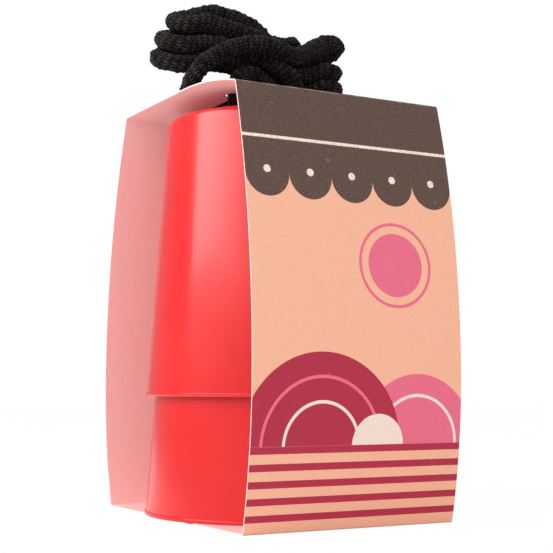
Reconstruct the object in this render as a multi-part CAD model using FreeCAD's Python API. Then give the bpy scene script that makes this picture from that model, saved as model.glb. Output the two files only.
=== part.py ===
"""A nested pair of moulded cup stilts with their cord, held in a folded card sleeve."""

import FreeCAD, Part

import math
import os

# Frame: X runs along the front panel, the front panel faces -Y, Z is up.
# The origin is under the middle of the sleeve, on the surface that it stands on.

# Driving sizes, in millimetres and degrees
CUP_HEIGHT = 130.5
CUP_RIM_RADIUS = 58.5
CUP_TAPER = 8.8
CUP_WALL = 2.4
PLATFORM_THICKNESS = 3.0
PLATFORM_EDGE_ROUND = 3.0
PLATFORM_INSIDE_ROUND = 1.5
RIM_BEAD_PROUD = 0.5
RIM_BEAD_HEIGHT = 1.8
RIM_BEAD_ROUND = 0.4

STACK_STEP = 54.6
STACK_SEAT_GAP = 0.2
RIB_COUNT = 8
RIB_THICKNESS = 2.0
RIB_DEPTH = 8.0
RIB_TURN = 22.5

CORD_DIAMETER = 8.0
CORD_HOLE_CLEARANCE = 0.4
CORD_HOLE_INSET = 19.3
CORD_HOLE_TURN = 27.4
KNOT_RADIUS = 9.0
KNOT_HEIGHT = 15.0
KNOT_ROUND = 4.0
KNOT_TAIL = 13.0

CARD = 0.6
CARD_FOLD_ROUND = 1.0
SLEEVE_WIDTH = 105.0
SLEEVE_BULGE_ROOM = 20.4
FRONT_BASE_ROOM = 12.8
BACK_BASE_ROOM = 11.4
FRONT_CREASE_ROOM = 13.0
BACK_CREASE_ROOM = 5.8
TOP_ROOM = 8.9
FRONT_CREASE_DROP = 6.3
BACK_CREASE_DROP = 0.6
FRONT_WIDEST_Z = 68.0
BACK_WIDEST_Z = 65.0
TOP_BEND_Y = -12.0
FLAP_HEIGHT = 16.0
SLOT_ROOM = 3.0
SLOT_END_ROOM = 0.5
SLOT_WIDE_X = -25.2
SLOT_CORNER = 8.0
SLOT_TIP_ROUND = 6.9

CUT_OVERRUN = 10.0
MATCH = 0.01

# The hank: its runs pass a waist two runs wide, and its loops fan out on both sides of it.
# Lists go from the lowest loop to the highest one. Rises are above the run's place at the waist.
WAIST_X = 8.0
WAIST_ROW_GAP = 1.2
WAIST_COLUMN_GAP = 0.7
WAIST_STAGGER = 3.0
WAIST_LIFT = 4.6
FOLD_GAP = 0.4
LOOP_TILT = (2.0, 3.0, 4.5)
LEFT_REACH = (68.5, 64.0, 60.0)
LEFT_RISE = (10.0, 11.2, 13.8)
LEFT_SLOPE = -0.2
CREST_REACH = (44.0, 42.0, 38.0)
CREST_RISE = (11.0, 12.8, 15.0)
RIGHT_REACH = (26.4, 27.2, 29.2)
RIGHT_RISE = (3.6, 5.2, 8.6)
RIGHT_SLOPE = 0.36
TIE_CLEARANCE = 0.95
TIE_PITCH = 9.6
TIE_LEAN = 1.8
TIE_TURN_STATIONS = 8
TIE_ENTRY_INSET = 1.0

# The leads' routes, chosen by hand: X, Y and the height above the top panel.
# The first lead comes up from one hole into the hank. The second one leaves the tie,
# in line with its end, falls to the top panel and goes back to the other hole.
LEAD_IN_RISE = 2.6
LEAD_IN_TURN = (-20.0, -12.0, 3.6)
HANK_START = (-9.5, -9.4, 5.6)
LEAD_OUT_RISE = 21.2
LEAD_OUT_ROUTE = (
    (-7.0, -15.6, 26.8),
    (-26.0, -18.0, 23.3),
    (-41.0, -20.0, 14.3),
    (-50.0, -11.5, 4.6),
    (-48.5, 8.0, 4.6),
    (-35.0, 20.5, 4.6),
    (-15.0, 27.0, 4.6),
    (6.0, 26.5, 4.7),
)
LEAD_OUT_TURN = 5.8

# How routes and arcs are worked out
BEND_SHARE = 0.45
FLAT_TURN = 1e-9
FLAT_SIDE = 1e-4
GAP_STEP = 1.5
APART_SHARE = 2.6

# Sizes that follow from the driving ones
CUP_TOP_RADIUS = CUP_RIM_RADIUS - CUP_TAPER
CORD_HOLE_SPREAD = CUP_TOP_RADIUS - CORD_HOLE_INSET
CORD_RADIUS = CORD_DIAMETER / 2
CORD_HOLE_RADIUS = CORD_RADIUS + CORD_HOLE_CLEARANCE
CORD_HOLE_X = CORD_HOLE_SPREAD * math.cos(math.radians(CORD_HOLE_TURN))
CORD_HOLE_Y = CORD_HOLE_SPREAD * math.sin(math.radians(CORD_HOLE_TURN))
LOWER_BASE = CARD
UPPER_BASE = LOWER_BASE + STACK_STEP
PLATFORM_TOP = UPPER_BASE + CUP_HEIGHT
PLATFORM_UNDER = PLATFORM_TOP - PLATFORM_THICKNESS
TOP_PANEL_Z = PLATFORM_TOP + TOP_ROOM + CARD
SLEEVE_HALF_DEPTH = CUP_RIM_RADIUS + SLEEVE_BULGE_ROOM
SLOT_HALF_WIDTH = CORD_HOLE_Y + CORD_RADIUS + SLOT_ROOM
SLOT_END_X = -CORD_HOLE_X - CORD_RADIUS - SLOT_END_ROOM
WAIST_PITCH = CORD_DIAMETER + WAIST_ROW_GAP
WAIST_HALF_WIDTH = (CORD_DIAMETER + WAIST_COLUMN_GAP) / 2
WAIST_FLOOR = TOP_PANEL_Z + WAIST_LIFT
LOOP_COUNT = len(LEFT_REACH)
FOLD_RADIUS = CORD_DIAMETER + FOLD_GAP
TIE_OFFSET = CORD_DIAMETER + TIE_CLEARANCE


def vec(x, y, z=0.0):
    """Return a vector from three lengths."""
    return FreeCAD.Vector(x, y, z)


def unit(direction):
    """Return a copy of a direction with length one."""
    return FreeCAD.Vector(direction).normalize()


def line(start, end):
    """Return a straight edge."""
    return Part.LineSegment(start, end).toShape()


def arc(start, middle, end):
    """Return a round edge through three points."""
    return Part.Arc(start, middle, end).toShape()


def hole_place(side, height):
    """Return the axis of one cord hole at a height; side is -1 or 1."""
    return vec(side * CORD_HOLE_X, side * CORD_HOLE_Y, height)


# Cups

def cup_cone(shrink, height):
    """Return the cup's outer cone made smaller by shrink all round, up to a height."""
    slope = CUP_TAPER / CUP_HEIGHT
    rim = CUP_RIM_RADIUS - shrink
    return Part.makeCone(rim, rim - slope * height, height)


def edges_at(shape, height, radius):
    """Return the round edges of a shape at a height with about a given radius."""
    found = []
    for edge in shape.Edges:
        box = edge.BoundBox
        level = abs(box.ZMax - height) < MATCH and abs(box.ZMin - height) < MATCH
        if level and abs(edge.Curve.Radius - radius) < MATCH:
            found.append(edge)
    return found


def stacking_ribs():
    """Return the fins inside a cup whose lower ends land on the platform of the cup below."""
    seat = CUP_HEIGHT - STACK_STEP + STACK_SEAT_GAP
    slope = CUP_TAPER / CUP_HEIGHT
    reach = CUP_RIM_RADIUS - slope * seat
    start = reach - CUP_WALL - RIB_DEPTH
    length = CUP_HEIGHT - PLATFORM_THICKNESS / 2 - seat
    ribs = []
    for index in range(RIB_COUNT):
        fin = Part.makeBox(reach, RIB_THICKNESS, length, vec(start, -RIB_THICKNESS / 2, seat))
        fin.rotate(vec(0, 0, 0), vec(0, 0, 1), RIB_TURN + index * 360.0 / RIB_COUNT)
        ribs.append(fin)
    return ribs


def cup(base):
    """Return one moulded cup, open side down, standing at a height."""
    body = cup_cone(0, CUP_HEIGHT)
    body = body.makeFillet(PLATFORM_EDGE_ROUND, edges_at(body, CUP_HEIGHT, CUP_TOP_RADIUS))
    bead_radius = CUP_RIM_RADIUS + RIM_BEAD_PROUD
    bead = Part.makeCylinder(bead_radius, RIM_BEAD_HEIGHT)
    bead = bead.makeFillet(RIM_BEAD_ROUND, edges_at(bead, RIM_BEAD_HEIGHT, bead_radius))
    inside_height = CUP_HEIGHT - PLATFORM_THICKNESS
    inside = cup_cone(CUP_WALL, inside_height)
    inside_top = inside.BoundBox.ZMax
    top_radius = CUP_RIM_RADIUS - CUP_WALL - CUP_TAPER * inside_height / CUP_HEIGHT
    inside = inside.makeFillet(PLATFORM_INSIDE_ROUND, edges_at(inside, inside_top, top_radius))
    ribs = Part.makeCompound(stacking_ribs()).common(body)
    shell = body.fuse(bead).cut(inside).fuse(ribs)
    for side in (-1, 1):
        drill = Part.makeCylinder(CORD_HOLE_RADIUS, PLATFORM_THICKNESS + 2 * CUT_OVERRUN,
                                  hole_place(side, CUP_HEIGHT - PLATFORM_THICKNESS - CUT_OVERRUN))
        shell = shell.cut(drill)
    shell = shell.removeSplitter()
    shell.translate(vec(0, 0, base))
    return shell


# Sleeve

def bow_middle(widest, end, side):
    """Return the middle of the arc from the widest point, where it is upright, to an end."""
    across = abs(end.x - widest.x)
    up = end.y - widest.y
    radius = (across ** 2 + up ** 2) / (2 * across)
    half = math.asin(up / radius) / 2
    return widest + vec(side * radius * (math.cos(half) - 1), radius * math.sin(half))


def bow_edges(start, widest, end, side):
    """Return the two arcs of a bowed panel, from start over the widest point to end."""
    return [arc(start, bow_middle(widest, start, side), widest),
            arc(widest, bow_middle(widest, end, side), end)]


def fold_places():
    """Return the four folds of the sleeve; x stands for Y and y for Z."""
    return {
        "front_base": vec(-CUP_RIM_RADIUS - FRONT_BASE_ROOM, 0),
        "front_crease": vec(-CUP_TOP_RADIUS - FRONT_CREASE_ROOM, TOP_PANEL_Z - FRONT_CREASE_DROP),
        "back_crease": vec(CUP_TOP_RADIUS + BACK_CREASE_ROOM, TOP_PANEL_Z - BACK_CREASE_DROP),
        "back_base": vec(CUP_RIM_RADIUS + BACK_BASE_ROOM, 0),
    }


def sleeve_outline():
    """Return the sleeve's outer outline as a face; its x stands for Y and its y for Z."""
    folds = fold_places()
    front_crease = folds["front_crease"]
    top_bend = vec(TOP_BEND_Y, TOP_PANEL_Z)
    edges = bow_edges(folds["front_base"], vec(-SLEEVE_HALF_DEPTH, FRONT_WIDEST_Z), front_crease, -1)
    run = TOP_BEND_Y - front_crease.x
    radius = (run ** 2 + FRONT_CREASE_DROP ** 2) / (2 * FRONT_CREASE_DROP)
    half = math.asin(run / radius) / 2
    top_middle = vec(TOP_BEND_Y - radius * math.sin(half), TOP_PANEL_Z - radius + radius * math.cos(half))
    edges.append(arc(front_crease, top_middle, top_bend))
    edges.append(line(top_bend, folds["back_crease"]))
    edges += bow_edges(folds["back_crease"], vec(SLEEVE_HALF_DEPTH, BACK_WIDEST_Z), folds["back_base"], 1)
    edges.append(line(folds["back_base"], folds["front_base"]))
    return Part.Face(Part.Wire(Part.__sortEdges__(edges)))


def stand_up(face, width):
    """Turn an outline upright and give it a width along X, centred on the middle."""
    block = face.extrude(vec(0, 0, width))
    block.rotate(vec(0, 0, 0), vec(1, 1, 1), 120)
    block.translate(vec(-width / 2, 0, 0))
    return block


def slot_block(start, low, high, corner):
    """Return a slot's cutter from X of start to past the +X end, between two Y, with its end rounded."""
    length = SLEEVE_WIDTH / 2 + CUT_OVERRUN - start
    block = Part.makeBox(length, high - low, 2 * CUT_OVERRUN, vec(start, low, TOP_PANEL_Z - CUT_OVERRUN))
    corners = []
    for edge in block.Edges:
        box = edge.BoundBox
        if box.ZLength > CUT_OVERRUN and abs(box.XMax - start) < MATCH:
            corners.append(edge)
    return block.makeFillet(corner, corners)


def cord_slot():
    """Return the cutter for the slot in the top panel: wide at the open +X end, narrow round the first lead."""
    wide = slot_block(SLOT_WIDE_X, -SLOT_HALF_WIDTH, SLOT_HALF_WIDTH, SLOT_CORNER)
    narrow = slot_block(SLOT_END_X, -SLOT_HALF_WIDTH, SLOT_HALF_WIDTH - 2 * CORD_HOLE_Y, SLOT_TIP_ROUND)
    return wide.fuse(narrow)


def fold_edges(strip):
    """Return the edges of the standing strip that are its four folds."""
    found = []
    for edge in strip.Edges:
        middle = edge.valueAt((edge.FirstParameter + edge.LastParameter) / 2)
        for place in fold_places().values():
            if math.hypot(middle.y - place.x, middle.z - place.y) < MATCH:
                found.append(edge)
    return found


def card_sleeve():
    """Return the folded card strip with its glued flap and its cord slot."""
    outer = sleeve_outline()
    inner = outer.makeOffset2D(-CARD, 2)
    lap_inner = outer.makeOffset2D(-2 * CARD, 2)
    strip = stand_up(outer, SLEEVE_WIDTH)
    strip = strip.makeFillet(CARD_FOLD_ROUND, [edge for edge in fold_edges(strip) if len(edge.Vertexes) == 2])
    band = strip.cut(stand_up(inner, SLEEVE_WIDTH + 2 * CUT_OVERRUN))
    lap = stand_up(inner, SLEEVE_WIDTH).cut(stand_up(lap_inner, SLEEVE_WIDTH + 2 * CUT_OVERRUN))
    flap_start = fold_places()["back_base"].x - 2 * CARD
    flap_zone = Part.makeBox(SLEEVE_WIDTH, SLEEVE_BULGE_ROOM, FLAP_HEIGHT - CARD,
                             vec(-SLEEVE_WIDTH / 2, flap_start, CARD))
    flap = lap.common(flap_zone)
    return band.fuse(flap).removeSplitter().cut(cord_slot())


# Cord

def route_edges(points):
    """Return runs joined by tangent arcs through a hand-chosen route, and the least radius."""
    edges = []
    radii = []
    last = points[0]
    for before, corner, after in zip(points, points[1:], points[2:]):
        into = unit(corner - before)
        out = unit(after - corner)
        turn = into.getAngle(out)
        cut = BEND_SHARE * min((corner - before).Length, (after - corner).Length)
        radius = cut / math.tan(turn / 2)
        start = corner - into * cut
        end = corner + out * cut
        inward = unit(out - into)
        middle = corner + inward * (radius / math.cos(turn / 2) - radius)
        if (start - last).Length > MATCH:
            edges.append(line(last, start))
        edges.append(arc(start, middle, end))
        radii.append(radius)
        last = end
    edges.append(line(last, points[-1]))
    return edges, radii


def biarc(start, start_way, end, end_way):
    """Return two arcs that leave start along start_way and reach end along end_way."""
    gap = end - start
    ways = start_way + end_way
    square = 2 * start_way.dot(end_way) - 2
    linear = -2 * gap.dot(ways)
    constant = gap.dot(gap)
    if abs(square) < FLAT_TURN:
        reach = -constant / linear
    else:
        reach = (-linear - math.sqrt(linear ** 2 - 4 * square * constant)) / (2 * square)
    first = start + start_way * reach
    second = end - end_way * reach
    joint = (first + second) * 0.5
    return [
        tangent_edge(start, joint, arc_middle(start, start_way, joint)),
        tangent_edge(joint, end, arc_middle(end, end_way * -1, joint)),
    ]


def arc_middle(start, way, end):
    """Return the middle of the arc from start along way to end, or None where it is flat."""
    chord = end - start
    side = chord - way * chord.dot(way)
    if side.Length < FLAT_SIDE:
        return None
    side = unit(side)
    radius = chord.dot(chord) / (2 * chord.dot(side))
    centre = start + side * radius
    return centre + unit((start - centre) + (end - centre)) * radius


def tangent_edge(start, end, middle):
    """Return the arc through middle, or a straight edge where there is none."""
    if middle is None:
        return line(start, end)
    return arc(start, middle, end)


def run_side(run):
    """Return -1 for a run in the front column and 1 for one in the back column."""
    return -1 if run % 2 == 0 else 1


def waist_point(run):
    """Return where a run of the hank passes its waist."""
    side = run_side(run)
    height = WAIST_FLOOR + (run // 2) * WAIST_PITCH + (1 + side) / 2 * WAIST_STAGGER
    return vec(WAIST_X, side * WAIST_HALF_WIDTH, height)


def loop_middle(reach, rise, level):
    """Return the place midway between a loop's two runs; reach is signed."""
    return vec(WAIST_X + reach, 0, WAIST_FLOOR + level * WAIST_PITCH + WAIST_STAGGER / 2 + rise)


def loop_across(level):
    """Return half the step from a loop's front run to its back run, which stands higher."""
    tilt = LOOP_TILT[level]
    return vec(0, math.sqrt(FOLD_RADIUS ** 2 - tilt ** 2), tilt)


def crest_point(run, level):
    """Return where a run is highest on the left of the waist."""
    return loop_middle(-CREST_REACH[level], CREST_RISE[level], level) + loop_across(level) * run_side(run)


def fold(reach, rise, run, level, way, slope):
    """Return the three stations of a bight after a run; way is -1 at the left and 1 at the right."""
    ahead = unit(vec(way, 0, slope))
    middle = loop_middle(reach - way * FOLD_RADIUS, rise, level)
    step = loop_across(level)
    across = unit(step - ahead * step.dot(ahead)) * run_side(run + 1)
    start = middle - across * FOLD_RADIUS
    end = middle + across * FOLD_RADIUS
    return [(start, ahead), (middle + ahead * FOLD_RADIUS, across), (end, ahead * -1)]


def tie_stations():
    """Return the stations of the turn that ties the waist, from its top to its front side."""
    front = waist_point(0)
    back = waist_point(1)
    rise = vec(0, 0, (LOOP_COUNT - 1) * WAIST_PITCH)
    corners = [
        (back + rise, (0, 0, 1), (0, 1, 0)), (back + rise, (0, 1, 0), (0, 0, -1)),
        (back, (0, 1, 0), (0, 0, -1)), (back, (0, 0, -1), (0, -1, 0)),
        (front, (0, 0, -1), (0, -1, 0)), (front, (0, -1, 0), (0, 0, 1)),
    ]
    lean = TIE_PITCH / TIE_TURN_STATIONS
    stations = []
    for index, (corner, outward, way) in enumerate(corners):
        shift = vec(TIE_LEAN - TIE_PITCH / 2 + index * lean, 0, 0)
        place = corner + vec(*outward) * TIE_OFFSET + shift
        stations.append((place, unit(vec(lean / TIE_OFFSET, way[1], way[2]))))
    return stations


def hank_stations(start, start_way):
    """Return the places and directions that the hank's line passes, from the lead to the tie."""
    stations = [(start, start_way), (waist_point(0), vec(1, 0, 0))]
    run = 0
    for loop in range(LOOP_COUNT):
        stations += fold(RIGHT_REACH[loop], RIGHT_RISE[loop], run, loop, 1, RIGHT_SLOPE)
        run += 1
        stations.append((waist_point(run), vec(-1, 0, 0)))
        stations.append((crest_point(run, loop), None))
        stations += fold(-LEFT_REACH[loop], LEFT_RISE[loop], run, loop, -1, LEFT_SLOPE)
        run += 1
        stations.append((crest_point(run, loop), None))
        if loop < LOOP_COUNT - 1:
            stations.append((waist_point(run), vec(1, 0, 0)))
    over = waist_point(run) + vec(-TIE_PITCH - TIE_LEAN, -TIE_ENTRY_INSET, TIE_ENTRY_INSET)
    stations.append((over, None))
    stations += tie_stations()
    full = []
    for index, (place, way) in enumerate(stations):
        if way is None:
            way = unit(stations[index + 1][0] - stations[index - 1][0])
        full.append((place, way))
    return full


def station_edges(stations):
    """Return the arcs through a list of places and directions."""
    edges = []
    for (place, way), (next_place, next_way) in zip(stations, stations[1:]):
        edges += biarc(place, way, next_place, next_way)
    return edges


def tube(edges, start, way):
    """Return a solid round tube along edges."""
    path = Part.Wire(Part.__sortEdges__(edges))
    section = Part.Wire(Part.makeCircle(CORD_RADIUS, start, way))
    shell = path.makePipeShell([section], True, False)
    return shell


def knot(side):
    """Return the stopper knot under the upper platform, with its cut end."""
    top = hole_place(side, PLATFORM_UNDER)
    ball = Part.makeCylinder(KNOT_RADIUS, KNOT_HEIGHT, top, vec(0, 0, -1))
    ball = ball.makeFillet(KNOT_ROUND, [edge for edge in ball.Edges if len(edge.Vertexes) == 1])
    tail = Part.makeCylinder(CORD_RADIUS, KNOT_HEIGHT + KNOT_TAIL, top, vec(0, 0, -1))
    return ball.fuse(tail).removeSplitter()


def over_panel(point):
    """Return a route point's place from its X, Y and height above the top panel."""
    return vec(point[0], point[1], TOP_PANEL_Z + point[2])


def report_tube(name, shape, edges):
    """Print how a tube's volume compares with its section times its length."""
    length = sum(edge.Length for edge in edges)
    share = shape.Volume / (math.pi * CORD_RADIUS ** 2 * length)
    print(f"{name}: length {length:.1f}, volume share {share:.4f}, valid {shape.isValid()}")
    return length


def line_points(edges):
    """Return points along the cord's line, each with its distance from the start."""
    points = []
    travel = 0.0
    for edge in edges:
        count = max(2, math.ceil(edge.Length / GAP_STEP))
        span = edge.LastParameter - edge.FirstParameter
        for index in range(count):
            place = edge.valueAt(edge.FirstParameter + span * index / count)
            points.append((travel + edge.Length * index / count, place))
        travel += edge.Length
    return points


def least_gap(edges):
    """Print the cord's least gap to itself, measured between points a few diameters apart."""
    points = line_points(edges)
    gaps = []
    for index, (here, place) in enumerate(points):
        for there, other in points[index + 1:]:
            if there - here > APART_SHARE * CORD_DIAMETER:
                gaps.append((place - other).Length - CORD_DIAMETER)
    print(f"least gap of the cord to itself {min(gaps):.2f}")


def cord_solids():
    """Return the cord's two leads and its hank as solids, keyed by node name."""
    hank_start = over_panel(HANK_START)
    lead_in = [hole_place(-1, PLATFORM_UNDER), hole_place(-1, PLATFORM_TOP + LEAD_IN_RISE)]
    lead_in += [over_panel(LEAD_IN_TURN), hank_start]
    hank_way = unit(hank_start - lead_in[-2])
    stations = hank_stations(hank_start, hank_way)
    tie_end, tie_way = stations[-1]
    lead_out = [tie_end, tie_end + tie_way * LEAD_OUT_RISE]
    lead_out += [over_panel(point) for point in LEAD_OUT_ROUTE]
    lead_out += [hole_place(1, TOP_PANEL_Z + LEAD_OUT_TURN), hole_place(1, PLATFORM_UNDER)]
    in_edges, in_radii = route_edges(lead_in)
    out_edges, out_radii = route_edges(lead_out)
    hank_edges = station_edges(stations)
    print("lead radii", [round(radius, 1) for radius in in_radii + out_radii])
    hank_radii = [edge.Curve.Radius for edge in hank_edges if hasattr(edge.Curve, "Radius")]
    print(f"hank radii from {min(hank_radii):.1f}")
    lines = {"cord_lead_in": in_edges, "cord_hank": hank_edges, "cord_lead_out": out_edges}
    starts = {
        "cord_lead_in": (lead_in[0], vec(0, 0, 1)),
        "cord_hank": (hank_start, hank_way),
        "cord_lead_out": (lead_out[0], unit(lead_out[1] - lead_out[0])),
    }
    solids = {name: tube(edges, *starts[name]) for name, edges in lines.items()}
    total = sum(report_tube(name, solids[name], edges) for name, edges in lines.items())
    print(f"cord between its knots {total:.0f}")
    least_gap(in_edges + hank_edges + out_edges)
    return solids


def main():
    """Build every piece and write one STEP file for each."""
    solids = {
        "card_sleeve": card_sleeve(),
        "lower_cup": cup(LOWER_BASE),
        "upper_cup": cup(UPPER_BASE),
        "cord_knot_in": knot(-1),
        "cord_knot_out": knot(1),
    }
    solids.update(cord_solids())
    os.makedirs("parts", exist_ok=True)
    for name, shape in solids.items():
        box = shape.BoundBox
        print(f"{name}: {len(shape.Solids)} solid, valid {shape.isValid()}, volume {shape.Volume:.0f}, "
              f"X {box.XMin:.1f}..{box.XMax:.1f}, Y {box.YMin:.1f}..{box.YMax:.1f}, "
              f"Z {box.ZMin:.1f}..{box.ZMax:.1f}")
        shape.exportStep(f"parts/{name}.step")


main()
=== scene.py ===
"""Looks of a nested pair of stilt cups with a knitted cord, held in a printed card sleeve."""

import logging
import math
from dataclasses import dataclass
from enum import Enum

import bmesh
import bpy
import numpy as np
from mathutils import Matrix, Vector, noise


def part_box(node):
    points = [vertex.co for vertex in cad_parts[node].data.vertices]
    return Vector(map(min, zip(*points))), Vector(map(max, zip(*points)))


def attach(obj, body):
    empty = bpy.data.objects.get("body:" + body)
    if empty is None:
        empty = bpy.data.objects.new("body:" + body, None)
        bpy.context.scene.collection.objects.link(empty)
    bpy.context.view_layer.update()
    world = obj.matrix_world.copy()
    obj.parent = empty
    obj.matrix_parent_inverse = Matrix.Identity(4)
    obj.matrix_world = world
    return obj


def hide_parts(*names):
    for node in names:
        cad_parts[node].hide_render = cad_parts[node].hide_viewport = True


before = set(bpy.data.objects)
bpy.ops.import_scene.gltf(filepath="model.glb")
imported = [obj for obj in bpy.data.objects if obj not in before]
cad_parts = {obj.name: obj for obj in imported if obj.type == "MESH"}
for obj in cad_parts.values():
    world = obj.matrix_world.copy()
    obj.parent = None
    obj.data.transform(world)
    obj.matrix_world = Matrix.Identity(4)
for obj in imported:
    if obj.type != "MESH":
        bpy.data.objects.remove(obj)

LOG = logging.getLogger("stilts")
MM = 0.001
Pair = tuple[float, float]
Triple = tuple[float, float, float]
Colour = Triple
Shape = bmesh.types.BMesh
Vert = bmesh.types.BMVert
Piece = bpy.types.Object
Material = bpy.types.Material
Tree = bpy.types.NodeTree
Socket = bpy.types.NodeSocket


class Body(Enum):
    """The parts of the object that move on their own."""

    SLEEVE = "sleeve"
    LOWER = "lower_stilt"
    UPPER = "upper_stilt"


class Slot(Enum):
    """Names for the material slots."""

    CUP = "cup_plastic"
    CARD = "sleeve_card"
    CORD = "cord_black"


class CardFace(Enum):
    """Where the card's materials stand in the sleeve's list."""

    PRINTED = 0
    INSIDE = 1
    EDGE = 2


class Ink(Enum):
    """The printed colours of the sleeve, linear."""

    GROUND = (0.990, 0.505, 0.338)
    BAND = (0.128, 0.076, 0.058)
    PINK = (0.880, 0.165, 0.265)
    CRIMSON = (0.480, 0.026, 0.062)
    CREAM = (0.970, 0.790, 0.670)


# Meshes

def new_piece(name: str, mesh: bpy.types.Mesh) -> Piece:
    """Put a mesh in the scene as a piece at the origin.

    Args:
        name: The piece's name.
        mesh: Its mesh, already in place.

    Returns:
        The new object.
    """
    piece = bpy.data.objects.new(name, mesh)
    bpy.context.scene.collection.objects.link(piece)
    return piece


def to_mesh(shape: Shape, name: str) -> bpy.types.Mesh:
    """Turn a bmesh into a mesh and free it.

    Args:
        shape: The bmesh.
        name: The mesh's name.

    Returns:
        The new mesh.
    """
    mesh = bpy.data.meshes.new(name)
    shape.to_mesh(mesh)
    shape.free()
    return mesh


def smooth_by_angle(mesh: bpy.types.Mesh, degrees: float) -> None:
    """Shade a mesh smooth, but keep the edges sharp that turn by more than an angle.

    Args:
        mesh: The mesh to shade.
        degrees: The largest turn that still looks smooth.
    """
    mesh.shade_smooth()
    mesh.set_sharp_from_angle(angle=math.radians(degrees))


def bake_modifiers(piece: Piece) -> None:
    """Replace a piece's mesh with what its modifiers make of it.

    Args:
        piece: The piece, which has no modifiers afterwards.
    """
    depsgraph = bpy.context.evaluated_depsgraph_get()
    mesh = bpy.data.meshes.new_from_object(piece.evaluated_get(depsgraph))
    piece.modifiers.clear()
    old = piece.data
    piece.data = mesh
    bpy.data.meshes.remove(old)
    mesh.name = piece.name


def combine(piece: Piece, tool: Piece, operation: str) -> None:
    """Cut a tool out of a piece or join it on, and remove the tool.

    Args:
        piece: The piece that changes.
        tool: The closed mesh that cuts it or joins it.
        operation: DIFFERENCE or UNION.
    """
    step = piece.modifiers.new("combine", "BOOLEAN")
    step.operation = operation
    step.solver = "EXACT"
    step.object = tool
    bake_modifiers(piece)
    mesh = tool.data
    bpy.data.objects.remove(tool)
    bpy.data.meshes.remove(mesh)


def near(value: float, wanted: float, margin: float = 0.01 * MM) -> bool:
    """Tell if a length is the wanted one."""
    return abs(value - wanted) < margin


def only(kind: type, items: list) -> list:
    """Return the items of one kind among those that an operator made."""
    return [item for item in items if isinstance(item, kind)]


def bevel(shape: Shape, edges: list[bmesh.types.BMEdge], size: float, steps: int) -> None:
    """Round edges.

    Args:
        shape: The bmesh.
        edges: The edges to round.
        size: How far the rounding reaches.
        steps: How many faces it has.
    """
    bmesh.ops.bevel(shape, geom=edges, offset=size, offset_type="OFFSET", segments=steps,
                    profile=0.5, affect="EDGES", material=-1, clamp_overlap=True)


def lathe(section: list[Pair], sides: int) -> Shape:
    """Spin a section about the upright axis into a closed shape.

    Args:
        section: Its corners as radii and heights.
        sides: How many sides the shape has.

    Returns:
        The new bmesh.
    """
    shape = bmesh.new()
    corners = [shape.verts.new((radius, 0.0, height)) for radius, height in section]
    for first, second in zip(corners, corners[1:] + corners[:1]):
        if not (near(first.co.x, 0.0) and near(second.co.x, 0.0)):
            shape.edges.new((first, second))
    bmesh.ops.spin(shape, geom=shape.verts[:] + shape.edges[:], cent=(0, 0, 0), axis=(0, 0, 1),
                   angle=math.tau, steps=sides, use_merge=True, use_duplicate=False)
    bmesh.ops.remove_doubles(shape, verts=shape.verts[:], dist=0.001 * MM)
    bmesh.ops.recalc_face_normals(shape, faces=shape.faces[:])
    return shape


# Shader nodes

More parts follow.
